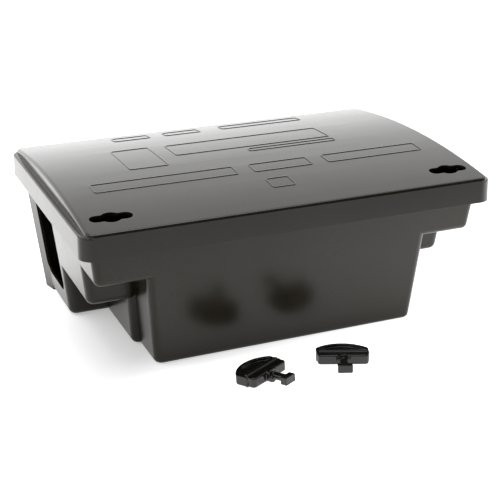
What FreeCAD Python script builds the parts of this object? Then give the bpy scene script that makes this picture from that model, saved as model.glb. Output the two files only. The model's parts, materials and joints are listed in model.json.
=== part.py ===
"""Lockable rodent bait station: stepped base tub, hinged lid, two key locks, lift-out bait tray.

Frame: +Z up, -Y is the front, +X the right-hand end. The origin is on the surface that the
station stands on, under the middle of the lid. All lengths are in millimetres.
"""
import FreeCAD, Part
import math
import os

Vector = FreeCAD.Vector

# ---- driving dimensions -------------------------------------------------------------------
LID_LENGTH = 305.0
LID_DEPTH = 210.0
SKIRT_BOTTOM = 91.6
SKIRT_TOP = 107.5
LID_WALL = 2.6
LID_CORNER_RADIUS = 10.5
SKIRT_DRAFT = 0.02
END_LEDGE = 4.0
CROWN_LIP = 2.0
CROWN_RISE = 8.1
CROWN_EDGE_RADIUS = 2.4
SKIRT_EDGE_RADIUS = 1.0
RIB_X = 45.0
RIB_HALF_WIDTH = 0.8
RIB_DEPTH = 1.0

# Thin raised frames of blank label panels on the lid: x from, x to, y from, y to.
FRAME_LINE = 1.0
FRAME_RISE = 0.35
FRAME_ROOT = 0.8
FRAME_RADIUS = 2.5
LABEL_FRAMES = (
    (-126.0, -20.0, -44.0, -28.0),
    (-8.0, 38.0, -44.0, -28.0),
    (50.0, 128.0, -44.0, -28.0),
    (-90.0, -60.0, -8.0, 44.0),
    (-48.0, 78.0, 12.0, 42.0),
    (6.0, 78.0, 0.0, 7.0),
    (-76.0, -46.0, 78.0, 91.0),
    (-34.0, -4.0, 78.0, 91.0),
    (14.0, 84.0, 78.0, 91.0),
    (-7.0, 11.0, -74.0, -58.0),
)

WALL = 2.5
RIM_HEIGHT = 104.6
CUT_MARGIN = 12.0
OVERCUT = 1.0
NEAR = 0.1

# A wall leans out with height: (distance from the middle at the floor, lean per mm of height).
TUB_SIDE = (99.8, 0.086)
TUB_BACK = 45.0
FRONT_WALL = (85.0, 0.108)
BACK_WALL = (84.0, 0.06)
COLUMN_SIDE = (104.8, 0.086)
COLUMN_FRONT = (48.5, 0.1)
END_WALL = (133.4, 0.115)
TUNNEL_FRONT = (-17.4, 0.1)
WING_FRONT = (51.4, 0.108)
WING_INNER = 102.0
WING_BOTTOM = 38.7
WING_BACK = 30.0
WING_JOIN = 12.0
BAND_BOTTOM = 67.4

TUB_CORNER_RADIUS = 6.0
TUB_FOOT_RADIUS = 3.5
COLUMN_FOOT_RADIUS = 4.5
TUNNEL_FOOT_RADIUS = 5.5
WING_EDGE_RADIUS = 6.0
BAND_EDGE_RADIUS = 5.0
OUTER_BLOCK_TOP = BAND_BOTTOM + BAND_EDGE_RADIUS + OVERCUT
FOOT_SHARE = 0.9

FLARE_START = 72.0
FLARE_PROFILE = ((0.0, 3.0), (104.6, 2.0))

ENTRANCE_NEAR = 24.0
ENTRANCE_FAR = 74.0
ENTRANCE_BOTTOM = 17.0
ENTRANCE_TOP = 86.0
ENTRANCE_RADIUS = 9.0

# hinge
HINGE_Y = 97.5
HINGE_Z = 95.0
PIN_RADIUS = 2.0
PIN_HEAD_RADIUS = 3.2
PIN_HEAD_LENGTH = 1.5
PIN_TAIL = 1.0
PIN_FIT = 0.02
RUNNING_FIT = 0.06
LUG_RADIUS = 4.3
LUG_THICKNESS = 6.0
LUG_INNER_X = 70.0
KNUCKLE_LENGTH = 18.0
KNUCKLE_END_GAP = 0.4
KNUCKLE_WEB_DROP = 1.5
LUG_WEB_DROP = 0.5
LUG_WEB_RISE = 8.5

# locks
LOCK_X = 126.2
LOCK_Y = -83.4
KEYHOLE_RADIUS = 7.2
KEYHOLE_LENGTH = 29.6
KEYHOLE_SLOT = 9.4
HOUSING_RADIUS = 10.3
HOUSING_TOP = 98.0
BARREL_RADIUS = 7.5
BARREL_FIT = 0.06
BARREL_BOTTOM = 78.0
BARREL_TOP = 103.4
WASHER_THICKNESS = 0.9
WASHER_CLEARANCE = 0.3
ARM_BOTTOM = 98.6
ARM_TOP = 102.6
ARM_REACH = 17.0
ARM_WIDTH = 9.0
KEY_SOCKET = (10.8, 6.2, 9.0)
GROOVE_BOTTOM = 86.0
GROOVE_WIDTH = 1.6
GROOVE_CORE_RADIUS = 6.0
CLIP_THICKNESS = 1.2
CLIP_CORE_GAP = 0.2
CLIP_WIDTH = 18.0
HOOK_FACE_X = 107.5
HOOK_THICKNESS = 2.5
HOOK_TOE = 4.8
HOOK_WIDTH = 10.0
HOOK_BOTTOM = 95.6
HOOK_TOE_HEIGHT = 2.3

# baffles and their posts
BAFFLE_Y = 20.3
BAFFLE_THICKNESS = 2.0
BAFFLE_TOP = 103.0
BAFFLE_INNER_X = 29.2
BAFFLE_FLOOR_GAP = 0.4
BAFFLE_END_GAP = 0.6
BAFFLE_STEP_X = 97.0
BAFFLE_STEP_Z = 6.2
POST_INNER_X = 26.5
POST_OUTER_X = 33.0
POST_DEPTH = 6.2
POST_TOP = 100.0
POST_EDGE_RADIUS = 1.0
GROOVE_SLACK = 0.2

# bait tray, rods and blocks
TRAY_HALF_LENGTH = 90.0
TRAY_FRONT = -78.0
TRAY_BACK = 6.0
TRAY_BOTTOM = 3.0
TRAY_TOP = 27.0
TRAY_WALL = 2.0
TRAY_LEAN = 0.04
TRAY_CORNER_RADIUS = 5.0
ROD_Z = 31.8
ROD_RADIUS = 2.2
ROD_HALF_LENGTH = 93.8
ROD_BEND_RADIUS = 4.4
ROD_TAIL = 4.0
ROD_PLACES = {"front": -56.0, "rear": -16.0}
CRADLE_HALF_WIDTH = 8.0
CRADLE_TOP = 38.0
CRADLE_SLACK = 0.1
CRADLE_THICKNESS = 3.4
CRADLE_SETBACK = 0.2
BLOCK_LENGTH = 52.0
BLOCK_WIDTH = 26.0
BLOCK_HEIGHT = 24.0
BLOCK_X = 30.0
BLOCK_CHAMFER = 3.0
BLOCK_FLUTE_RADIUS = 1.6
BLOCK_FLUTE_SHARES = (-0.45, 0.0, 0.45)
BLOCK_FIT = 0.1

# anchor holes in the tunnel floor
ANCHOR_X = 80.0
ANCHOR_Y = 55.0
ANCHOR_RADIUS = 2.6
ANCHOR_BOSS_RADIUS = 7.0
ANCHOR_BOSS_TOP = 4.5

# keys
KEY_BAR_LENGTH = 35.4
KEY_BAR_DEPTH = 7.6
KEY_BAR_ROUND = 2.6
KEY_BAR_EDGE = 0.9
KEY_BAR_START = -0.8
KEY_BOW_WIDTH = 37.0
KEY_BOW_DEPTH = 16.0
KEY_SHOULDER_SHARE = 0.46
KEY_BOW_CORNER = 3.0
KEY_BOW_EDGE = 0.9
KEY_THICKNESS = 7.0
KEY_RIB_LENGTH = 33.4
KEY_RIB_WIDTH = 1.8
KEY_RIB_HEIGHT = 1.2
KEY_POCKET_DEPTH = 1.8
KEY_POCKET_RIM = 3.0
KEY_POCKET_START = 4.2
KEY_COLLAR_RADIUS = 5.0
KEY_COLLAR_LENGTH = 2.6
KEY_SHANK_RADIUS = 2.7
KEY_TIP = (10.2, 5.6, 5.0)
KEY_TIP_EDGE = 0.6
KEY_REACH = 24.5
KEY_TILT = 5.0
KEY_POSES = {"left": (-40.3, -131.3, 28.9), "right": (20.4, -131.2, -22.0)}


# ---- helpers ------------------------------------------------------------------------------
def lean(side, height, inset=0.0):
    """Distance of a leaning wall from the middle at one height."""
    return side[0] - inset + side[1] * height


def rectangle(x_range, y_range, height):
    """A rectangular wire at one height."""
    corners = [
        Vector(x_range[0], y_range[0], height),
        Vector(x_range[1], y_range[0], height),
        Vector(x_range[1], y_range[1], height),
        Vector(x_range[0], y_range[1], height),
    ]
    return Part.makePolygon(corners + [corners[0]])


def tapered_block(z_range, limits):
    """A block with leaning walls; limits(height) gives its x and y ranges."""
    wires = [rectangle(*limits(height), height) for height in z_range]
    return Part.makeLoft(wires, True, True)


def fillet_where(shape, radius, wanted):
    """Round the edges for which wanted(middle point, direction) holds."""
    edges = []
    for edge in shape.Edges:
        ends = [vertex.Point for vertex in edge.Vertexes]
        if len(ends) < 2:
            continue
        middle = (ends[0] + ends[1]) * 0.5
        direction = (ends[1] - ends[0]).normalize()
        if wanted(middle, direction):
            edges.append(edge)
    return shape.makeFillet(radius, edges)


def upright(direction):
    """True for an edge that runs mostly up and down."""
    return abs(direction.z) > 0.9


def box_between(low, high):
    """A box given by its two opposite corners."""
    size = [top - bottom for bottom, top in zip(low, high)]
    return Part.makeBox(size[0], size[1], size[2], Vector(*low))


def cylinder_z(radius, z_range, x=0.0, y=0.0):
    """A vertical cylinder."""
    return Part.makeCylinder(radius, z_range[1] - z_range[0], Vector(x, y, z_range[0]))


def cylinder_x(radius, x_range, y, z):
    """A cylinder along X."""
    start = Vector(x_range[0], y, z)
    return Part.makeCylinder(radius, x_range[1] - x_range[0], start, Vector(1, 0, 0))


def prism(points, direction):
    """A solid from a closed outline pushed along a direction."""
    outline = Part.makePolygon(list(points) + [points[0]])
    return Part.Face(outline).extrude(direction)


def mirror_x(shape):
    """The same shape on the other side of the middle."""
    return shape.mirror(Vector(0, 0, 0), Vector(1, 0, 0))


def both_sides(shape):
    """A shape together with its mirror image."""
    return [shape, mirror_x(shape)]


def fuse_all(shapes):
    """One solid from shapes that overlap or touch."""
    return shapes[0].multiFuse(shapes[1:]).removeSplitter()


# ---- base tub -----------------------------------------------------------------------------
def tub_block(inset, bottom, top, corner, foot):
    """The deep front compartment."""
    def limits(height):
        side = lean(TUB_SIDE, height, inset)
        return (-side, side), (-lean(FRONT_WALL, height, inset), TUB_BACK)

    block = tapered_block((bottom, top), limits)
    block = fillet_where(block, corner, lambda p, d: upright(d) and p.y < 0)
    return fillet_where(block, foot, lambda p, d: p.z < bottom + foot and p.y < TUB_BACK - 1.0)


def column_block(inset, bottom, top, corner, foot):
    """The slightly wider compartment behind the front one."""
    def limits(height):
        side = lean(COLUMN_SIDE, height, inset)
        return (-side, side), (-lean(COLUMN_FRONT, height, inset), TUB_BACK)

    block = tapered_block((bottom, top), limits)
    block = fillet_where(block, corner, lambda p, d: upright(d) and p.y < 0)
    return fillet_where(block, foot, lambda p, d: p.z < bottom + foot and p.y < TUB_BACK - 1.0)


def tunnel_block(inset, bottom, top, corner, foot):
    """The through tunnel along the back, which stands on the floor over the whole length."""
    def limits(height):
        side = lean(END_WALL, height, inset)
        return (-side, side), (-lean(TUNNEL_FRONT, height, inset), lean(BACK_WALL, height, inset))

    block = tapered_block((bottom, top), limits)
    block = fillet_where(block, corner, lambda p, d: upright(d) and p.y < ENTRANCE_NEAR)
    return fillet_where(block, foot, lambda p, d: p.z < bottom + foot)


def wing_block(inset, bottom, top, edge):
    """The raised shoulder beside the column, on the right-hand side."""
    def limits(height):
        outer = lean(END_WALL, height, inset)
        return (WING_INNER + inset, outer), (-lean(WING_FRONT, height, inset), WING_BACK)

    block = tapered_block((bottom, top), limits)
    block = fillet_where(block, edge, lambda p, d: upright(d) and p.y < 0)
    return fillet_where(block, edge * FOOT_SHARE, lambda p, d: p.z < bottom + edge and p.y < 0)


def wing_doorway(bottom, top):
    """The opening between the room in a shoulder and the column, on the right-hand side."""
    def limits(height):
        return (WING_INNER - WING_JOIN, WING_INNER + WING_JOIN), (
            -lean(COLUMN_FRONT, height, WALL), WING_BACK)

    return tapered_block((bottom, top), limits)


def band_block(inset, bottom, top, edge):
    """The full-length box directly under the lid."""
    def limits(height):
        side = lean(END_WALL, height, inset)
        return (-side, side), (-lean(FRONT_WALL, height, inset), lean(BACK_WALL, height, inset))

    block = tapered_block((bottom, top), limits)
    block = fillet_where(block, edge, lambda p, d: upright(d) and p.y < 0)
    return fillet_where(
        block, edge * FOOT_SHARE, lambda p, d: p.z < bottom + edge and p.y < ENTRANCE_NEAR)


def flare_block(inset, raise_top):
    """The rear part of an end wall, which turns outwards towards the back corner."""
    def outline(height, flare):
        wall_x = lean(END_WALL, height, inset)
        back_y = lean(BACK_WALL, height, inset)
        corners = [
            Vector(wall_x - WALL, FLARE_START, height),
            Vector(wall_x, FLARE_START, height),
            Vector(wall_x + flare, back_y, height),
            Vector(wall_x - WALL, back_y, height),
        ]
        return Part.makePolygon(corners + [corners[0]])

    sections = [outline(height, flare) for height, flare in FLARE_PROFILE]
    block = Part.makeLoft(sections, True, True)
    height, flare = FLARE_PROFILE[-1]
    if raise_top > 0.0:
        block = block.fuse(Part.makeLoft(
            [outline(height, flare), outline(height + raise_top, flare)], True, True))
    return block


def base_outer():
    """The outside of the tub as one solid."""
    wings = both_sides(wing_block(0.0, WING_BOTTOM, OUTER_BLOCK_TOP, WING_EDGE_RADIUS))
    flares = both_sides(flare_block(0.0, 0.0))
    blocks = [
        tub_block(0.0, 0.0, OUTER_BLOCK_TOP, TUB_CORNER_RADIUS, TUB_FOOT_RADIUS),
        column_block(0.0, 0.0, OUTER_BLOCK_TOP, TUB_CORNER_RADIUS, COLUMN_FOOT_RADIUS),
        tunnel_block(0.0, 0.0, OUTER_BLOCK_TOP, TUB_CORNER_RADIUS, TUNNEL_FOOT_RADIUS),
        band_block(0.0, BAND_BOTTOM, RIM_HEIGHT, BAND_EDGE_RADIUS),
    ]
    return fuse_all(blocks + wings + flares)


def base_inner():
    """The room inside the tub, open at the top."""
    top = RIM_HEIGHT + CUT_MARGIN
    wings = both_sides(wing_block(WALL, WING_BOTTOM + WALL, top, WING_EDGE_RADIUS - WALL))
    wings += both_sides(wing_doorway(WING_BOTTOM + WALL, top))
    flares = both_sides(flare_block(WALL, CUT_MARGIN))
    blocks = [
        tub_block(WALL, WALL, top, TUB_CORNER_RADIUS - WALL, TUB_FOOT_RADIUS / 2.0),
        column_block(WALL, WALL, top, TUB_CORNER_RADIUS - WALL, COLUMN_FOOT_RADIUS / 2.0),
        tunnel_block(WALL, WALL, top, TUB_CORNER_RADIUS - WALL, TUNNEL_FOOT_RADIUS - WALL),
        band_block(WALL, BAND_BOTTOM + WALL, top, BAND_EDGE_RADIUS - WALL),
    ]
    return fuse_all(blocks + wings + flares)


def entrance_cutter():
    """The rounded entrance through both end walls."""
    reach = LID_LENGTH / 2.0
    low = (-reach, ENTRANCE_NEAR, ENTRANCE_BOTTOM)
    high = (reach, ENTRANCE_FAR, ENTRANCE_TOP)
    slab = box_between(low, high)
    slab = fillet_where(slab, ENTRANCE_RADIUS, lambda p, d: abs(d.x) > 0.9)
    middle = lean(END_WALL, 0.0) - 4.0 * WALL
    keep = box_between((-middle, -LID_DEPTH, -OVERCUT), (middle, LID_DEPTH, LID_LENGTH))
    return slab.cut(keep)


def hinge_lug(x_start):
    """One ear on the back wall that carries a hinge pin."""
    wall_y = lean(BACK_WALL, HINGE_Z) - WALL
    outline = [
        Vector(x_start, wall_y, HINGE_Z - LUG_WEB_DROP),
        Vector(x_start, HINGE_Y, HINGE_Z - LUG_RADIUS / 2.0),
        Vector(x_start, HINGE_Y + LUG_RADIUS / 2.0, HINGE_Z + LUG_RADIUS / 2.0),
        Vector(x_start, wall_y, HINGE_Z + LUG_WEB_RISE),
    ]
    web = prism(outline, Vector(LUG_THICKNESS, 0, 0))
    x_range = (x_start, x_start + LUG_THICKNESS)
    ear = web.fuse(cylinder_x(LUG_RADIUS, x_range, HINGE_Y, HINGE_Z))
    return ear.cut(cylinder_x(PIN_RADIUS + PIN_FIT, x_range, HINGE_Y, HINGE_Z))


def hinge_lugs():
    """The two pairs of ears."""
    second = LUG_INNER_X + LUG_THICKNESS + KNUCKLE_LENGTH
    lugs = []
    for x_start in (LUG_INNER_X, second):
        lugs += both_sides(hinge_lug(x_start))
    return lugs


def lock_housing():
    """The upright sleeve for the right-hand lock, cut flush with the tub's outside."""
    tube = cylinder_z(HOUSING_RADIUS, (BAND_BOTTOM + WALL / 2.0, HOUSING_TOP), LOCK_X, LOCK_Y)
    return tube.common(band_block(WALL / 2.0, BAND_BOTTOM, RIM_HEIGHT, BAND_EDGE_RADIUS))


def lock_bore():
    """The room inside the sleeve, with the side slot for the retaining clip."""
    bottom = BARREL_BOTTOM - WASHER_THICKNESS - PIN_FIT
    bore = cylinder_z(BARREL_RADIUS + BARREL_FIT, (bottom, HOUSING_TOP + CUT_MARGIN), LOCK_X, LOCK_Y)
    half = CLIP_WIDTH / 2.0 + GROOVE_SLACK
    slot = box_between(
        (LOCK_X - half, LOCK_Y - GROOVE_CORE_RADIUS / 2.0, GROOVE_BOTTOM),
        (LOCK_X + half, LOCK_Y + HOUSING_RADIUS + WALL, GROOVE_BOTTOM + GROOVE_WIDTH))
    return bore.fuse(slot)


def baffle_post():
    """The grooved post that holds the inner edge of the right-hand baffle."""
    front = BAFFLE_Y - (POST_DEPTH - BAFFLE_THICKNESS) / 2.0
    post = box_between((POST_INNER_X, front, WALL / 2.0), (POST_OUTER_X, front + POST_DEPTH, POST_TOP))
    post = fillet_where(post, POST_EDGE_RADIUS, lambda p, d: upright(d))
    groove = box_between(
        (BAFFLE_INNER_X - GROOVE_SLACK, BAFFLE_Y - GROOVE_SLACK, WALL),
        (POST_OUTER_X + OVERCUT, BAFFLE_Y + BAFFLE_THICKNESS + GROOVE_SLACK, POST_TOP + OVERCUT))
    return post.cut(groove)


def anchor_bosses():
    """Raised pads round the anchor holes."""
    pad = cylinder_z(ANCHOR_BOSS_RADIUS, (WALL / 2.0, ANCHOR_BOSS_TOP), ANCHOR_X, ANCHOR_Y)
    return both_sides(pad)


def anchor_holes():
    """Two holes for screws into the ground or a board."""
    hole = cylinder_z(
        ANCHOR_RADIUS, (-OVERCUT, ANCHOR_BOSS_TOP + OVERCUT), ANCHOR_X, ANCHOR_Y)
    return both_sides(hole)


def make_base_tub():
    """The stepped tub with its ears, lock sleeves, baffle posts and anchor pads."""
    shell = base_outer().cut(base_inner())
    additions = hinge_lugs() + both_sides(lock_housing()) + both_sides(baffle_post())
    additions += anchor_bosses()
    tub = fuse_all([shell] + additions)
    cutters = [entrance_cutter()] + both_sides(lock_bore()) + anchor_holes()
    return tub.cut(cutters).removeSplitter()


# ---- lid ----------------------------------------------------------------------------------
def skirt_block(inset, bottom, top):
    """The lid's rim box, with a slight outward draft."""
    def limits(height):
        shrink = (height - SKIRT_BOTTOM) * SKIRT_DRAFT + inset
        half_x = LID_LENGTH / 2.0 - shrink
        half_y = LID_DEPTH / 2.0 - shrink
        return (-half_x, half_x), (-half_y, half_y)

    block = tapered_block((bottom, top), limits)
    return fillet_where(block, LID_CORNER_RADIUS - inset, lambda p, d: upright(d))


def crown_height(y):
    """Height of the lid's curved top above the floor."""
    half = LID_DEPTH / 2.0
    radius = (half * half + CROWN_RISE * CROWN_RISE) / (2.0 * CROWN_RISE)
    drop = radius - math.sqrt(radius * radius - y * y)
    return SKIRT_TOP + CROWN_LIP + CROWN_RISE - drop


def crown_block(half_x, half_y, bottom, drop):
    """The curved top, extruded along the length."""
    start = Vector(-half_x, -half_y, crown_height(half_y) - drop)
    middle = Vector(-half_x, 0, crown_height(0.0) - drop)
    end = Vector(-half_x, half_y, crown_height(half_y) - drop)
    low_end = Vector(-half_x, half_y, bottom)
    low_start = Vector(-half_x, -half_y, bottom)
    edges = [
        Part.Arc(start, middle, end).toShape(),
        Part.LineSegment(end, low_end).toShape(),
        Part.LineSegment(low_end, low_start).toShape(),
        Part.LineSegment(low_start, start).toShape(),
    ]
    return Part.Face(Part.Wire(edges)).extrude(Vector(2.0 * half_x, 0, 0))


def lid_outer():
    """The outside of the lid as one solid."""
    skirt = skirt_block(0.0, SKIRT_BOTTOM, SKIRT_TOP)
    skirt = fillet_where(
        skirt, SKIRT_EDGE_RADIUS, lambda p, d: p.z > SKIRT_TOP - NEAR and abs(p.x) > LOCK_X)
    top_inset = (SKIRT_TOP - SKIRT_BOTTOM) * SKIRT_DRAFT
    half_y = LID_DEPTH / 2.0 - top_inset
    half_x = LID_LENGTH / 2.0 - END_LEDGE
    crown = crown_block(half_x, half_y, SKIRT_TOP - WALL, 0.0)
    crown = fillet_where(
        crown, LID_CORNER_RADIUS - END_LEDGE, lambda p, d: upright(d))
    edge_height = crown_height(half_y)
    crown = fillet_where(
        crown, CROWN_EDGE_RADIUS,
        lambda p, d: abs(d.x) > 0.9 and abs(p.z - edge_height) < NEAR)
    return skirt.fuse(crown).removeSplitter()


def lid_inner():
    """The hollow under the lid."""
    skirt = skirt_block(LID_WALL, SKIRT_BOTTOM - OVERCUT, SKIRT_TOP - LID_WALL)
    half_y = LID_DEPTH / 2.0 - 2.0 * LID_WALL
    half_x = LID_LENGTH / 2.0 - END_LEDGE - LID_WALL
    crown = crown_block(half_x, half_y, SKIRT_BOTTOM, LID_WALL)
    return skirt.fuse(crown)


def keyhole_cutter():
    """A round hole with two narrow side lobes."""
    z_range = (SKIRT_TOP - CUT_MARGIN / 2.0, SKIRT_TOP + CUT_MARGIN)
    hole = cylinder_z(KEYHOLE_RADIUS, z_range, LOCK_X, LOCK_Y)
    lobe_reach = (KEYHOLE_LENGTH - KEYHOLE_SLOT) / 2.0
    half = KEYHOLE_SLOT / 2.0
    slot = box_between(
        (LOCK_X - lobe_reach, LOCK_Y - half, z_range[0]),
        (LOCK_X + lobe_reach, LOCK_Y + half, z_range[1]))
    ends = [cylinder_z(half, z_range, LOCK_X + side * lobe_reach, LOCK_Y) for side in (-1, 1)]
    return fuse_all([hole, slot] + ends)


def lid_knuckle():
    """The right-hand hinge knuckle, hanging from the rear skirt."""
    start = LUG_INNER_X + LUG_THICKNESS + KNUCKLE_END_GAP
    end = LUG_INNER_X + LUG_THICKNESS + KNUCKLE_LENGTH - KNUCKLE_END_GAP
    body = cylinder_x(LUG_RADIUS, (start, end), HINGE_Y, HINGE_Z)
    skirt_y = LID_DEPTH / 2.0 - LID_WALL / 2.0
    web = box_between((start, HINGE_Y, HINGE_Z - KNUCKLE_WEB_DROP), (end, skirt_y, SKIRT_TOP))
    return body.fuse(web).cut(cylinder_x(PIN_RADIUS + RUNNING_FIT, (start, end), HINGE_Y, HINGE_Z))


def lock_hook():
    """The hook under the lid that the right-hand lock's arm turns over."""
    y_range = (LOCK_Y - HOOK_WIDTH / 2.0, LOCK_Y + HOOK_WIDTH / 2.0)
    back = HOOK_FACE_X - HOOK_THICKNESS
    top = crown_height(LOCK_Y) - LID_WALL / 2.0
    stem = box_between((back, y_range[0], HOOK_BOTTOM), (HOOK_FACE_X, y_range[1], top))
    toe = box_between(
        (HOOK_FACE_X - NEAR, y_range[0], HOOK_BOTTOM),
        (HOOK_FACE_X + HOOK_TOE, y_range[1], HOOK_BOTTOM + HOOK_TOE_HEIGHT))
    return stem.fuse(toe)


def lid_ribs():
    """Two shallow stiffening ribs across the underside."""
    half_y = LID_DEPTH / 2.0 - 4.0 * LID_WALL
    rib = box_between(
        (RIB_X - RIB_HALF_WIDTH, -half_y, SKIRT_TOP - RIB_DEPTH),
        (RIB_X + RIB_HALF_WIDTH, half_y, crown_height(0.0)))
    return both_sides(rib.common(lid_outer()))


def label_frame(x_range, y_range):
    """One closed frame line that follows the curved top."""
    low = crown_height(max(abs(y) for y in y_range)) - FRAME_ROOT
    high = crown_height(0.0) + CUT_MARGIN
    outer = box_between((x_range[0], y_range[0], low), (x_range[1], y_range[1], high))
    line = FRAME_LINE
    inner = box_between(
        (x_range[0] + line, y_range[0] + line, low), (x_range[1] - line, y_range[1] - line, high))
    outer = fillet_where(outer, FRAME_RADIUS, lambda p, d: upright(d))
    inner = fillet_where(inner, FRAME_RADIUS - line, lambda p, d: upright(d))
    return outer.cut(inner)


def label_frames():
    """All the frames, cut off just above the lid's curved top."""
    raised = crown_block(
        LID_LENGTH / 2.0 - END_LEDGE, LID_DEPTH / 2.0 - LID_WALL, SKIRT_TOP, -FRAME_RISE)
    return [label_frame(f[:2], f[2:]).common(raised) for f in LABEL_FRAMES]


def make_lid():
    """The shallow curved lid with its skirt, knuckles, hooks and label frames."""
    shell = lid_outer().cut(lid_inner())
    additions = both_sides(lid_knuckle()) + both_sides(lock_hook()) + label_frames()
    return fuse_all([shell] + additions + lid_ribs()).cut(both_sides(keyhole_cutter())).removeSplitter()


# ---- hinge pins, baffles ------------------------------------------------------------------
def make_hinge_pin():
    """A headed steel pin through one pair of ears, on the right-hand side."""
    end = LUG_INNER_X + 2.0 * LUG_THICKNESS + KNUCKLE_LENGTH
    neck = end + NEAR
    shaft = cylinder_x(PIN_RADIUS, (LUG_INNER_X - PIN_TAIL, neck), HINGE_Y, HINGE_Z)
    head = cylinder_x(PIN_HEAD_RADIUS, (neck, neck + PIN_HEAD_LENGTH), HINGE_Y, HINGE_Z)
    return shaft.fuse(head)


def make_baffle():
    """The slide-in plate between tunnel and feeding chamber, on the right-hand side."""
    bottom = WALL + BAFFLE_FLOOR_GAP
    gap = WALL + BAFFLE_END_GAP
    outline = [
        Vector(BAFFLE_INNER_X, BAFFLE_Y, bottom),
        Vector(BAFFLE_STEP_X, BAFFLE_Y, bottom),
        Vector(BAFFLE_STEP_X, BAFFLE_Y, BAFFLE_STEP_Z),
        Vector(lean(END_WALL, BAFFLE_STEP_Z, gap), BAFFLE_Y, BAFFLE_STEP_Z),
        Vector(lean(END_WALL, BAFFLE_TOP, gap), BAFFLE_Y, BAFFLE_TOP),
        Vector(BAFFLE_INNER_X, BAFFLE_Y, BAFFLE_TOP),
    ]
    return prism(outline, Vector(0, BAFFLE_THICKNESS, 0))


# ---- locks --------------------------------------------------------------------------------
def make_lock_barrel():
    """The turning lock barrel with its arm and key socket, on the right-hand side."""
    barrel = cylinder_z(BARREL_RADIUS, (BARREL_BOTTOM, BARREL_TOP), LOCK_X, LOCK_Y)
    half = ARM_WIDTH / 2.0
    arm = box_between(
        (LOCK_X - half, LOCK_Y, ARM_BOTTOM), (LOCK_X + half, LOCK_Y + ARM_REACH, ARM_TOP))
    arm = fillet_where(arm, half * 0.8, lambda p, d: upright(d) and p.y > LOCK_Y + half)
    body = barrel.fuse(arm)
    groove_range = (GROOVE_BOTTOM, GROOVE_BOTTOM + GROOVE_WIDTH)
    ring = cylinder_z(BARREL_RADIUS + OVERCUT, groove_range, LOCK_X, LOCK_Y)
    ring = ring.cut(cylinder_z(GROOVE_CORE_RADIUS, groove_range, LOCK_X, LOCK_Y))
    half_x = KEY_SOCKET[0] / 2.0
    half_y = KEY_SOCKET[1] / 2.0
    socket = box_between(
        (LOCK_X - half_x, LOCK_Y - half_y, BARREL_TOP - KEY_SOCKET[2]),
        (LOCK_X + half_x, LOCK_Y + half_y, BARREL_TOP + OVERCUT))
    return body.cut([ring, socket])


def make_lock_clip():
    """The U-shaped steel clip that keeps the barrel in its sleeve, on the right-hand side."""
    bottom = GROOVE_BOTTOM + (GROOVE_WIDTH - CLIP_THICKNESS) / 2.0
    z_range = (bottom, bottom + CLIP_THICKNESS)
    half = CLIP_WIDTH / 2.0
    inner = GROOVE_CORE_RADIUS + CLIP_CORE_GAP
    plate = box_between(
        (LOCK_X - half, LOCK_Y - GROOVE_CORE_RADIUS / 2.0 + GROOVE_SLACK, z_range[0]),
        (LOCK_X + half, LOCK_Y + HOUSING_RADIUS, z_range[1]))
    cut_range = (z_range[0] - OVERCUT, z_range[1] + OVERCUT)
    mouth = box_between(
        (LOCK_X - inner, LOCK_Y - HOUSING_RADIUS, cut_range[0]),
        (LOCK_X + inner, LOCK_Y, cut_range[1]))
    seat = cylinder_z(inner, cut_range, LOCK_X, LOCK_Y)
    return plate.cut([mouth, seat])


def make_lock_washer():
    """The spring washer under the barrel, on the right-hand side."""
    bottom = BARREL_BOTTOM - WASHER_THICKNESS - PIN_FIT
    z_range = (bottom, bottom + WASHER_THICKNESS)
    disc = cylinder_z(BARREL_RADIUS - WASHER_CLEARANCE, z_range, LOCK_X, LOCK_Y)
    return disc.cut(cylinder_z(BARREL_RADIUS / 2.0, z_range, LOCK_X, LOCK_Y))


# ---- bait tray, rods and blocks -------------------------------------------------------------
def tray_shape(inset, bottom, top, radius):
    """A shallow tray-shaped block."""
    def limits(height):
        grow = (height - TRAY_BOTTOM) * TRAY_LEAN - inset
        half_x = TRAY_HALF_LENGTH + grow
        return (-half_x, half_x), (TRAY_FRONT - grow, TRAY_BACK + grow)

    block = tapered_block((bottom, top), limits)
    return fillet_where(block, radius, lambda p, d: upright(d))


def make_bait_tray():
    """The lift-out tray with four rod cradles."""
    outer = tray_shape(0.0, TRAY_BOTTOM, TRAY_TOP, TRAY_CORNER_RADIUS)
    inner = tray_shape(
        TRAY_WALL, TRAY_BOTTOM + TRAY_WALL, TRAY_TOP + OVERCUT, TRAY_CORNER_RADIUS - TRAY_WALL)
    parts = [outer.cut(inner)]
    notches = []
    ear_outer = TRAY_HALF_LENGTH - CRADLE_SETBACK
    for rod_y in ROD_PLACES.values():
        ear = box_between(
            (ear_outer - CRADLE_THICKNESS, rod_y - CRADLE_HALF_WIDTH, TRAY_BOTTOM + OVERCUT),
            (ear_outer, rod_y + CRADLE_HALF_WIDTH, CRADLE_TOP))
        ear = fillet_where(
            ear, CRADLE_HALF_WIDTH / 2.0, lambda p, d: abs(d.x) > 0.9 and p.z > TRAY_TOP)
        parts += both_sides(ear)
        half = ROD_RADIUS + CRADLE_SLACK
        reach = TRAY_HALF_LENGTH + CUT_MARGIN
        notches.append(cylinder_x(half, (-reach, reach), rod_y, ROD_Z))
        notches.append(box_between(
            (-reach, rod_y - half, ROD_Z), (reach, rod_y + half, CRADLE_TOP + OVERCUT)))
    return fuse_all(parts).cut(notches).removeSplitter()


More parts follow.
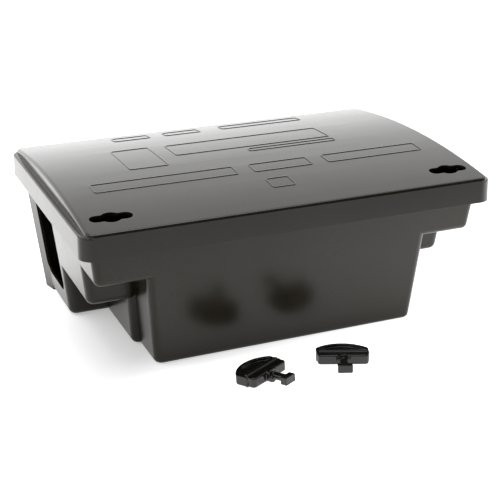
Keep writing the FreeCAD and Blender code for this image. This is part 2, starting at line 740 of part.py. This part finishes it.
def make_bait_rod(rod_y):
    """A straight steel rod whose right-hand end is bent down."""
    bend = ROD_HALF_LENGTH - ROD_BEND_RADIUS
    straight = cylinder_x(ROD_RADIUS, (-ROD_HALF_LENGTH, bend), rod_y, ROD_Z)
    ring = Part.makeTorus(
        ROD_BEND_RADIUS, ROD_RADIUS, Vector(bend, rod_y, ROD_Z - ROD_BEND_RADIUS), Vector(0, 1, 0))
    reach = 2.0 * ROD_BEND_RADIUS
    quarter = box_between(
        (bend, rod_y - reach, ROD_Z - ROD_BEND_RADIUS), (bend + reach, rod_y + reach, ROD_Z + reach))
    low = ROD_Z - ROD_BEND_RADIUS
    tail = cylinder_z(ROD_RADIUS, (low - ROD_TAIL, low), ROD_HALF_LENGTH, rod_y)
    return fuse_all([straight, ring.common(quarter), tail])


def make_bait_block(centre_x, centre_y):
    """A fluted wax block with a hole for the rod."""
    half_y = BLOCK_WIDTH / 2.0
    half_z = BLOCK_HEIGHT / 2.0
    cut = BLOCK_CHAMFER
    start_x = centre_x - BLOCK_LENGTH / 2.0
    offsets = [
        (-half_y + cut, -half_z), (half_y - cut, -half_z), (half_y, -half_z + cut),
        (half_y, half_z - cut), (half_y - cut, half_z), (-half_y + cut, half_z),
        (-half_y, half_z - cut), (-half_y, -half_z + cut),
    ]
    outline = [Vector(start_x, centre_y + dy, ROD_Z + dz) for dy, dz in offsets]
    block = prism(outline, Vector(BLOCK_LENGTH, 0, 0))
    x_range = (start_x - OVERCUT, start_x + BLOCK_LENGTH + OVERCUT)
    cutters = [cylinder_x(ROD_RADIUS + BLOCK_FIT, x_range, centre_y, ROD_Z)]
    for share in BLOCK_FLUTE_SHARES:
        for side in (-1, 1):
            cutters.append(cylinder_x(
                BLOCK_FLUTE_RADIUS, x_range, centre_y + share * half_y, ROD_Z + side * half_z))
            cutters.append(cylinder_x(
                BLOCK_FLUTE_RADIUS, x_range, centre_y + side * half_y, ROD_Z + share * half_z))
    return block.cut(cutters)


# ---- keys ---------------------------------------------------------------------------------
def bow_outline(width, depth, front):
    """The crescent-shaped plan of the key's bow, as a face."""
    half = width / 2.0
    shoulder = depth * KEY_SHOULDER_SHARE
    left_front = Vector(-half, front, 0)
    right_front = Vector(half, front, 0)
    left_back = Vector(-half, shoulder, 0)
    right_back = Vector(half, shoulder, 0)
    edges = [
        Part.LineSegment(left_front, right_front).toShape(),
        Part.LineSegment(right_front, right_back).toShape(),
        Part.Arc(right_back, Vector(0, depth, 0), left_back).toShape(),
        Part.LineSegment(left_back, left_front).toShape(),
    ]
    return Part.Face(Part.Wire(edges))


def key_bow():
    """The grip: a crescent plate with a pocket and a raised rib on each face, and a bar."""
    half = KEY_THICKNESS / 2.0
    plate = bow_outline(KEY_BOW_WIDTH, KEY_BOW_DEPTH, -KEY_RIB_WIDTH)
    plate.translate(Vector(0, 0, -half))
    bow = plate.extrude(Vector(0, 0, KEY_THICKNESS))
    bow = fillet_where(bow, KEY_BOW_CORNER, lambda p, d: upright(d) and p.y > 0)
    bow = fillet_where(bow, KEY_BOW_EDGE, lambda p, d: abs(abs(p.z) - half) < NEAR and p.y > 0)
    bar = box_between(
        (-KEY_BAR_LENGTH / 2.0, -KEY_BAR_DEPTH, -half),
        (KEY_BAR_LENGTH / 2.0, KEY_BAR_START, half))
    bar = fillet_where(bar, KEY_BAR_ROUND, lambda p, d: upright(d))
    bar = fillet_where(bar, KEY_BAR_EDGE, lambda p, d: abs(abs(p.z) - half) < NEAR)
    parts = [bow, bar]
    pockets = []
    for side in (-1, 1):
        floor = side * (half - KEY_POCKET_DEPTH)
        pocket = bow_outline(
            KEY_BOW_WIDTH - 2.0 * KEY_POCKET_RIM, KEY_BOW_DEPTH - KEY_POCKET_RIM, KEY_POCKET_START)
        pocket.translate(Vector(0, 0, floor))
        pockets.append(pocket.extrude(Vector(0, 0, side * KEY_THICKNESS)))
        low, high = sorted((0.0, side * (half + KEY_RIB_HEIGHT)))
        parts.append(box_between(
            (-KEY_RIB_LENGTH / 2.0, -KEY_RIB_WIDTH / 2.0, low),
            (KEY_RIB_LENGTH / 2.0, KEY_RIB_WIDTH / 2.0, high)))
    return fuse_all(parts).cut(pockets)


def key_shank():
    """The collar, round shank and oblong tip that enters the lock."""
    def along(radius, start, end):
        return Part.makeCylinder(radius, start - end, Vector(0, start, 0), Vector(0, -1, 0))

    collar_end = -KEY_BAR_DEPTH - KEY_COLLAR_LENGTH
    collar = along(KEY_COLLAR_RADIUS, -KEY_BAR_DEPTH + OVERCUT, collar_end)
    shank = along(KEY_SHANK_RADIUS, collar_end + OVERCUT, -KEY_REACH + OVERCUT)
    width, height, length = KEY_TIP
    tip = box_between(
        (-width / 2.0, -KEY_REACH, -height / 2.0), (width / 2.0, -KEY_REACH + length, height / 2.0))
    tip = fillet_where(tip, KEY_TIP_EDGE, lambda p, d: abs(d.y) > 0.9)
    return fuse_all([collar, shank, tip])


def make_key(pose):
    """A key lying on the floor, resting on its collar and on the back of its bow."""
    x, y, angle = pose
    key = fuse_all([key_bow(), key_shank()])
    key.rotate(Vector(0, 0, 0), Vector(1, 0, 0), -KEY_TILT)
    key.rotate(Vector(0, 0, 0), Vector(0, 0, 1), angle)
    key.translate(Vector(x, y, -key.BoundBox.ZMin))
    return key


# ---- all parts ------------------------------------------------------------------------------
def all_parts():
    """Every node's solid by name."""
    parts = {"base_tub": make_base_tub(), "lid": make_lid(), "bait_tray": make_bait_tray()}
    handed = {
        "hinge_pin": make_hinge_pin(),
        "baffle": make_baffle(),
        "lock_barrel": make_lock_barrel(),
        "lock_clip": make_lock_clip(),
        "lock_washer": make_lock_washer(),
    }
    for name, shape in handed.items():
        parts[name + "_right"] = shape
        parts[name + "_left"] = mirror_x(shape)
    for place, rod_y in ROD_PLACES.items():
        parts["bait_rod_" + place] = make_bait_rod(rod_y)
        for side, name in ((-1, "left"), (1, "right")):
            parts["bait_block_" + place + "_" + name] = make_bait_block(side * BLOCK_X, rod_y)
    for name, pose in KEY_POSES.items():
        parts["key_" + name] = make_key(pose)
    return parts


os.makedirs("parts", exist_ok=True)
for node, solid in all_parts().items():
    solid.exportStep("parts/" + node + ".step")
    print(node, solid.isValid(), len(solid.Solids), round(solid.Volume), solid.BoundBox)
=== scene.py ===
"""Looks for the rodent bait station: moulded plastic, wax, steel, studio and camera.

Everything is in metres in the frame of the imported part: +Z up, -Y is the front.
"""

import json
import math

import bmesh
import bpy
from mathutils import Matrix, Vector


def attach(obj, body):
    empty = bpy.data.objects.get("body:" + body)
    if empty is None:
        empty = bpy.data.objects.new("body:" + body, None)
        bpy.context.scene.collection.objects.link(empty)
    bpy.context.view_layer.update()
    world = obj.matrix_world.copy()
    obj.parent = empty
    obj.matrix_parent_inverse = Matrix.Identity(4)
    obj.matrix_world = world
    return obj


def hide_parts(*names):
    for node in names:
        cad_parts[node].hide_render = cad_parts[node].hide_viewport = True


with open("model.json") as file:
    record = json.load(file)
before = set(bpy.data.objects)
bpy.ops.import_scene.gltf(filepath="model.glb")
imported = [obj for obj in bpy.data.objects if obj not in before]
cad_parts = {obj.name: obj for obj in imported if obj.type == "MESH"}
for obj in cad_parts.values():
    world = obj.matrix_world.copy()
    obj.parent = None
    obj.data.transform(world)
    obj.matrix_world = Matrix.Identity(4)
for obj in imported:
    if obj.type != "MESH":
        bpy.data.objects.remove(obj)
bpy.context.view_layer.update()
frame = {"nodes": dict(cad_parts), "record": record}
nodes = frame["nodes"]

# ---- camera -------------------------------------------------------------------------------
CAMERA_PLACE = Vector((-0.3217, -0.7981, 0.3823))
CAMERA_YAW = math.radians(22.29)
CAMERA_PITCH = math.radians(21.75)
CAMERA_ROLL = math.radians(0.40)
CAMERA_LENS = 86.74
SENSOR_WIDTH = 36.0
CLIP_START = 0.01


def make_camera():
    """The camera, looking down on the front and the left end."""
    forward = Vector((
        math.sin(CAMERA_YAW) * math.cos(CAMERA_PITCH),
        math.cos(CAMERA_YAW) * math.cos(CAMERA_PITCH),
        -math.sin(CAMERA_PITCH)))
    level = Vector((math.cos(CAMERA_YAW), -math.sin(CAMERA_YAW), 0.0))
    down = forward.cross(level)
    right = math.cos(CAMERA_ROLL) * level + math.sin(CAMERA_ROLL) * down
    up = -forward.cross(right)
    data = bpy.data.cameras.new("camera")
    data.lens = CAMERA_LENS
    data.sensor_width = SENSOR_WIDTH
    data.clip_start = CLIP_START
    camera = bpy.data.objects.new("camera", data)
    bpy.context.scene.collection.objects.link(camera)
    turn = Matrix((right, up, -forward)).transposed().to_4x4()
    camera.matrix_world = Matrix.Translation(CAMERA_PLACE) @ turn
    bpy.context.scene.camera = camera


# ---- node helpers -------------------------------------------------------------------------
class Graph:
    """Short calls for wiring shader nodes."""

    def __init__(self, tree):
        self.tree = tree

    def node(self, kind, settings=None, **inputs):
        made = self.tree.nodes.new(kind)
        for name, value in (settings or {}).items():
            setattr(made, name, value)
        for name, value in inputs.items():
            self.feed(made.inputs[name.replace("_", " ")], value)
        return made

    def feed(self, socket, value):
        if isinstance(value, bpy.types.NodeSocket):
            self.tree.links.new(value, socket)
        else:
            socket.default_value = value

    def math(self, operation, first, second=0.0):
        made = self.tree.nodes.new("ShaderNodeMath")
        made.operation = operation
        self.feed(made.inputs[0], first)
        self.feed(made.inputs[1], second)
        return made.outputs[0]

    def dot(self, vector, direction):
        made = self.tree.nodes.new("ShaderNodeVectorMath")
        made.operation = "DOT_PRODUCT"
        self.feed(made.inputs[0], vector)
        self.feed(made.inputs[1], direction)
        return made.outputs["Value"]

    def step(self, value, low, high, out_low=0.0, out_high=1.0):
        """A smooth rise from out_low to out_high between low and high."""
        made = self.node(
            "ShaderNodeMapRange", {"interpolation_type": "SMOOTHSTEP"},
            Value=value, From_Min=low, From_Max=high, To_Min=out_low, To_Max=out_high)
        return made.outputs["Result"]

    def noise(self, place, scale, detail=3.0, roughness=0.55, distortion=0.0):
        made = self.node(
            "ShaderNodeTexNoise", Vector=place, Scale=scale, Detail=detail,
            Roughness=roughness, Distortion=distortion)
        return made.outputs["Fac"]

    def ramp(self, value, stops):
        stops = list(stops)
        made = self.node("ShaderNodeValToRGB", Fac=value)
        elements = made.color_ramp.elements
        while len(elements) < len(stops):
            elements.new(1.0)
        for element, (place, colour) in zip(elements, stops):
            element.position = place
            element.color = (*colour, 1.0)
        return made.outputs["Color"]

    def mix(self, share, first, second):
        made = self.tree.nodes.new("ShaderNodeMix")
        made.data_type = "RGBA"
        self.feed(made.inputs["Factor"], share)
        self.feed(made.inputs["A"], first)
        self.feed(made.inputs["B"], second)
        return made.outputs["Result"]

    def bump(self, height, strength, distance, normal=None):
        made = self.node("ShaderNodeBump", Height=height, Strength=strength, Distance=distance)
        if normal is not None:
            self.feed(made.inputs["Normal"], normal)
        return made.outputs["Normal"]


def new_material(name):
    """An empty principled material, with its graph and shader."""
    material = bpy.data.materials.new(name)
    material.use_nodes = True
    graph = Graph(material.node_tree)
    return material, graph, material.node_tree.nodes["Principled BSDF"]


# ---- materials ----------------------------------------------------------------------------
# A pair such as (0.3, 0.7) is the span of a noise over which a value changes.
WHITE = (1.0, 1.0, 1.0, 1.0)
CLOUD_SCALE = 14.0
CLOUD_STOPS = (0.3, 0.7)
FINE_SCALE = 1400.0
FINE_SPAN = (0.3, 0.7)
FINE_ROUGHNESS = 0.02
FINE_DEPTH = 0.00004
WAVE_SCALE = 26.0
WAVE_STRENGTH = 0.20
WAVE_DEPTH = 0.0006
GLOSS_SPAN = (0.25, 0.75)
STREAK_SCALE = (220.0, 60.0, 160.0)
STREAK_DETAIL = (5.0, 0.7, 0.6)
SCUFF_SPAN = (0.60, 0.78)
SCUFF_ROUGHNESS = 0.16
PALE_GAIN = 1.9
PALE_LIFT = 0.006
BEVEL_SAMPLES = 4


def moulded_plastic(name, dark, light, gloss, grain, ior=1.38, edge=0.0005, scuff=0.16):
    """Injection-moulded plastic: fine grain, slow waviness, light scuffs and softened edges."""
    material, graph, shader = new_material(name)
    place = graph.node("ShaderNodeTexCoord").outputs["Object"]
    cloud = graph.noise(place, CLOUD_SCALE, 4.0)
    fine = graph.noise(place, FINE_SCALE, 2.0)
    wave = graph.noise(place, WAVE_SCALE, 1.0)
    stretched = graph.node("ShaderNodeMapping", Vector=place, Scale=STREAK_SCALE)
    streaks = graph.noise(stretched.outputs["Vector"], 1.0, *STREAK_DETAIL)
    scuffs = graph.step(streaks, *SCUFF_SPAN, 0.0, scuff)
    body = graph.ramp(cloud, zip(CLOUD_STOPS, (dark, light)))
    pale = [channel * PALE_GAIN + PALE_LIFT for channel in light]
    graph.feed(shader.inputs["Base Color"], graph.mix(scuffs, body, (*pale, 1.0)))
    patch = graph.step(cloud, *GLOSS_SPAN, *gloss)
    rough = graph.math("ADD", patch, graph.math("MULTIPLY", scuffs, SCUFF_ROUGHNESS))
    rough = graph.math("ADD", rough, graph.step(
        fine, *FINE_SPAN, -FINE_ROUGHNESS, FINE_ROUGHNESS))
    graph.feed(shader.inputs["Roughness"], rough)
    shader.inputs["IOR"].default_value = ior
    soft_edge = graph.node("ShaderNodeBevel", {"samples": BEVEL_SAMPLES}, Radius=edge).outputs["Normal"]
    slow = graph.bump(wave, WAVE_STRENGTH, WAVE_DEPTH, soft_edge)
    graph.feed(shader.inputs["Normal"], graph.bump(fine, grain, FINE_DEPTH, slow))
    return material


WAX_DARK = (0.012, 0.12, 0.085)
WAX_LIGHT = (0.03, 0.24, 0.165)
HUSK_LIGHT = (0.32, 0.27, 0.12)
HUSK_DARK = (0.06, 0.10, 0.05)
BIT_SCALE = 420.0
BIT_SPAN = (0.28, 0.16)
BIT_CHOICE = (0.5, 0.56)
WAX_GLOSS = (0.2, 0.8, 0.42, 0.62)
WAX_GLOW_DEPTH = (0.002, 0.003, 0.002)
WAX_GLOW = 0.12
WAX_BUMP = 0.4
WAX_BUMP_DEPTH = 0.0003


def bait_wax(name):
    """Green paraffin bait with pressed grain in it."""
    material, graph, shader = new_material(name)
    place = graph.node("ShaderNodeTexCoord").outputs["Object"]
    cloud = graph.noise(place, 60.0, 4.0)
    cells = graph.node("ShaderNodeTexVoronoi", Vector=place, Scale=BIT_SCALE)
    bits = graph.step(cells.outputs["Distance"], *BIT_SPAN)
    body = graph.ramp(cloud, zip(CLOUD_STOPS, (WAX_DARK, WAX_LIGHT)))
    husk = graph.ramp(cells.outputs["Color"], ((0.35, HUSK_LIGHT), (0.7, HUSK_DARK)))
    chosen = graph.math("MULTIPLY", bits, graph.step(graph.noise(place, 240.0), *BIT_CHOICE))
    graph.feed(shader.inputs["Base Color"], graph.mix(chosen, body, husk))
    graph.feed(shader.inputs["Roughness"], graph.step(cloud, *WAX_GLOSS))
    shader.inputs["Subsurface Weight"].default_value = WAX_GLOW
    shader.inputs["Subsurface Radius"].default_value = WAX_GLOW_DEPTH
    height = graph.math("ADD", graph.noise(place, 500.0, 3.0), bits)
    graph.feed(shader.inputs["Normal"], graph.bump(height, WAX_BUMP, WAX_BUMP_DEPTH))
    return material


STEEL_DARK = (0.52, 0.52, 0.50)
STEEL_LIGHT = (0.70, 0.69, 0.66)
DRAWN_SCALE = (40.0, 2600.0, 2600.0)
DRAWN_GLOSS = (0.2, 0.8, 0.24, 0.42)
DRAWN_BUMP = 0.15
DRAWN_DEPTH = 0.00003


def plated_steel(name):
    """Zinc-plated steel with faint drawing lines along X."""
    material, graph, shader = new_material(name)
    place = graph.node("ShaderNodeTexCoord").outputs["Object"]
    lines = graph.node("ShaderNodeMapping", Vector=place, Scale=DRAWN_SCALE)
    drawn = graph.noise(lines.outputs["Vector"], 1.0, 3.0)
    cloud = graph.noise(place, 180.0, 3.0)
    tone = graph.ramp(cloud, zip(CLOUD_STOPS, (STEEL_DARK, STEEL_LIGHT)))
    graph.feed(shader.inputs["Base Color"], tone)
    shader.inputs["Metallic"].default_value = 1.0
    graph.feed(shader.inputs["Roughness"], graph.step(drawn, *DRAWN_GLOSS))
    graph.feed(shader.inputs["Normal"], graph.bump(drawn, DRAWN_BUMP, DRAWN_DEPTH))
    return material


def dress_nodes():
    """Gives every carried-over node the material of its slot."""
    looks = {
        "base_plastic": moulded_plastic(
            "base_plastic", dark=(0.0085, 0.0068, 0.0034), light=(0.0115, 0.0092, 0.0050),
            gloss=(0.21, 0.25), grain=0.10, ior=1.34),
        "lid_plastic": moulded_plastic(
            "lid_plastic", dark=(0.0090, 0.0074, 0.0045), light=(0.0115, 0.0096, 0.0064),
            gloss=(0.15, 0.18), grain=0.10),
        "insert_plastic": moulded_plastic(
            "insert_plastic", dark=(0.040, 0.040, 0.042), light=(0.056, 0.056, 0.058),
            gloss=(0.40, 0.52), grain=0.25),
        "lock_plastic": moulded_plastic(
            "lock_plastic", dark=(0.010, 0.010, 0.010), light=(0.016, 0.016, 0.016),
            gloss=(0.34, 0.44), grain=0.2),
        "key_plastic": moulded_plastic(
            "key_plastic", dark=(0.004, 0.0037, 0.003), light=(0.006, 0.0055, 0.005),
            gloss=(0.08, 0.13), grain=0.08, ior=1.42, edge=0.0002, scuff=0.2),
        "bait_wax": bait_wax("bait_wax"),
        "steel": plated_steel("steel"),
    }
    for part in frame["record"]["subparts"]:
        mesh = nodes[part["node"]].data
        mesh.materials.clear()
        mesh.materials.append(looks[part["material_slot"]])
    return looks


# ---- softened pieces ----------------------------------------------------------------------
WAX_VOXEL = 0.0009
WAX_DEPTH = 0.0004
WAX_SCALE = 190.0
KEY_VOXEL = 0.00034
KEY_SMOOTHING = 5


def softened(node_name, suffix, body, look, voxel, smoothing=0, crumble=0.0):
    """A copy of a node with rounded edges, and a crumbly skin if asked, that takes its place."""
    piece = bpy.data.objects.new(node_name + suffix, nodes[node_name].data.copy())
    bpy.context.scene.collection.objects.link(piece)
    remesh = piece.modifiers.new("remesh", "REMESH")
    remesh.mode = "VOXEL"
    remesh.voxel_size = voxel
    if smoothing:
        smooth = piece.modifiers.new("smooth", "SMOOTH")
        smooth.iterations = smoothing
    if crumble:
        texture = bpy.data.textures.new(node_name, "CLOUDS")
        texture.noise_scale = 1.0 / WAX_SCALE
        skin = piece.modifiers.new("crumble", "DISPLACE")
        skin.texture = texture
        skin.texture_coords = "LOCAL"
        skin.strength = crumble
        skin.mid_level = 1.0
    graph = bpy.context.evaluated_depsgraph_get()
    finished = bpy.data.meshes.new_from_object(piece.evaluated_get(graph))
    piece.modifiers.clear()
    piece.data = finished
    finished.shade_smooth()
    finished.materials.clear()
    finished.materials.append(look)
    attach(piece, body)
    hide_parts(node_name)


def make_wax_blocks(looks):
    """The four blocks, with a crumbly skin."""
    for row in ("front", "rear"):
        for side in ("left", "right"):
            softened(
                f"bait_block_{row}_{side}", "_wax", f"block_{row}_{side}",
                looks["bait_wax"], WAX_VOXEL, crumble=WAX_DEPTH)


def make_keys(looks):
    """The two keys, with the rounded edges of a small moulding."""
    for side in ("left", "right"):
        softened(
            f"key_{side}", "_moulded", f"key_{side}",
            looks["key_plastic"], KEY_VOXEL, KEY_SMOOTHING)


# ---- studio -------------------------------------------------------------------------------
# A pair is where a smooth step starts and ends. The last two of four are the values there.
TOWARD_BACK = (0.0, 0.985, 0.174)
BEHIND_SPAN = (-0.05, 0.14)
LOW_SPAN = (0.62, 0.02)
LEFT_SPAN = (0.62, 0.05)
LOW_GLOW = 0.35
LEFT_GLOW = 0.45
BACK_GLOW = 1.6
OVERHEAD = (0.88, 0.95, 0.0, 4.0)
FRONT_GLOW = 0.60
DARK_CENTRE = 0.32
DARK_WIDTH = (0.52, 0.34)
DARK_HEIGHT = (0.04, 0.16)
DARK_DEPTH = 0.56
FLOOR_SIZE = 6.0
FLOOR_DROP = 0.0002
FLOOR_COLOUR = (0.9, 0.9, 0.9, 1.0)
FLOOR_ROUGHNESS = 0.9
# Painted light: how strongly the floor glows, overall and in patches at the back left, front right and
# near the front.
FLOOR_PAINTED_GLOW = 0.32
FLOOR_FADE = (-0.40, -0.26)
LEFT_BACK_ACROSS = (-0.06, -0.17)
LEFT_BACK_DEPTH = (-0.03, 0.15, 0.0, 0.6)
RIGHT_FRONT_ACROSS = (-0.15, 0.30, 0.0, 0.9)
RIGHT_FRONT_DEPTH = (0.05, -0.1)
NEAR_START = (-0.06, -0.12)
NEAR_END = (-0.26, -0.16, 0.0, 0.6)
NEAR_ACROSS = (-0.16, -0.08)


def make_world():
    """A white sweep: bright behind and overhead, dimmer in front."""
    world = bpy.data.worlds.new("studio")
    bpy.context.scene.world = world
    world.use_nodes = True
    graph = Graph(world.node_tree)
    way = graph.node("ShaderNodeTexCoord").outputs["Generated"]
    across = graph.dot(way, (1.0, 0.0, 0.0))
    up = graph.dot(way, (0.0, 0.0, 1.0))
    behind = graph.step(graph.dot(way, TOWARD_BACK), *BEHIND_SPAN)
    low = graph.step(up, *LOW_SPAN)
    left = graph.step(across, *LEFT_SPAN)
    left = graph.math("MULTIPLY", left, LEFT_GLOW)
    glow = graph.math("MULTIPLY", low, graph.math("ADD", LOW_GLOW, left))
    back = graph.math("ADD", glow, BACK_GLOW)
    overhead = graph.step(up, *OVERHEAD)
    back = graph.math("ADD", back, overhead)
    side = graph.math("ABSOLUTE", graph.math("SUBTRACT", across, DARK_CENTRE))
    dark = graph.math("MULTIPLY", graph.step(side, *DARK_WIDTH), graph.step(up, *DARK_HEIGHT))
    front = graph.math("SUBTRACT", FRONT_GLOW, graph.math("MULTIPLY", dark, DARK_DEPTH))
    total = graph.math("ADD", graph.math("MULTIPLY", back, behind), graph.math(
        "MULTIPLY", front, graph.math("SUBTRACT", 1.0, behind)))
    background = world.node_tree.nodes["Background"]
    graph.feed(background.inputs["Strength"], total)
    background.inputs["Color"].default_value = WHITE


def make_floor():
    """A plain pale floor that glows softly: painted light, brighter in painted patches at the back
    left, the front right and near the front.
    """
    mesh = bpy.data.meshes.new("floor")
    grid = bmesh.new()
    bmesh.ops.create_grid(grid, x_segments=1, y_segments=1, size=FLOOR_SIZE)
    grid.to_mesh(mesh)
    grid.free()
    floor = bpy.data.objects.new("floor", mesh)
    bpy.context.scene.collection.objects.link(floor)
    floor.location = (0.0, 0.0, -FLOOR_DROP)
    material, graph, shader = new_material("floor")
    shader.inputs["Base Color"].default_value = FLOOR_COLOUR
    shader.inputs["Roughness"].default_value = FLOOR_ROUGHNESS
    shader.inputs["Specular IOR Level"].default_value = 0.0
    place = graph.node("ShaderNodeNewGeometry").outputs["Position"]
    across = graph.dot(place, (1.0, 0.0, 0.0))
    back = graph.dot(place, (0.0, 1.0, 0.0))
    # Painted light: glowing patches on the floor, behind on the left, at the front right and near the
    # front, that light the station and show in its reflections.
    left_back = graph.math(
        "MULTIPLY", graph.step(across, *LEFT_BACK_ACROSS), graph.step(back, *LEFT_BACK_DEPTH))
    right_front = graph.math(
        "MULTIPLY", graph.step(across, *RIGHT_FRONT_ACROSS),
        graph.step(back, *RIGHT_FRONT_DEPTH))
    near = graph.math(
        "MULTIPLY", graph.step(back, *NEAR_START), graph.step(back, *NEAR_END))
    near = graph.math("MULTIPLY", near, graph.step(across, *NEAR_ACROSS))
    front = graph.math("ADD", graph.math("ADD", near, right_front), FLOOR_PAINTED_GLOW)
    front = graph.math("MULTIPLY", front, graph.step(back, *FLOOR_FADE))
    glow = graph.math("ADD", left_back, front)
    shader.inputs["Emission Color"].default_value = WHITE
    graph.feed(shader.inputs["Emission Strength"], glow)
    mesh.materials.append(material)


looks = dress_nodes()
make_wax_blocks(looks)
make_keys(looks)
make_camera()
make_world()
make_floor()
bpy.context.scene.view_settings.view_transform = "Standard"
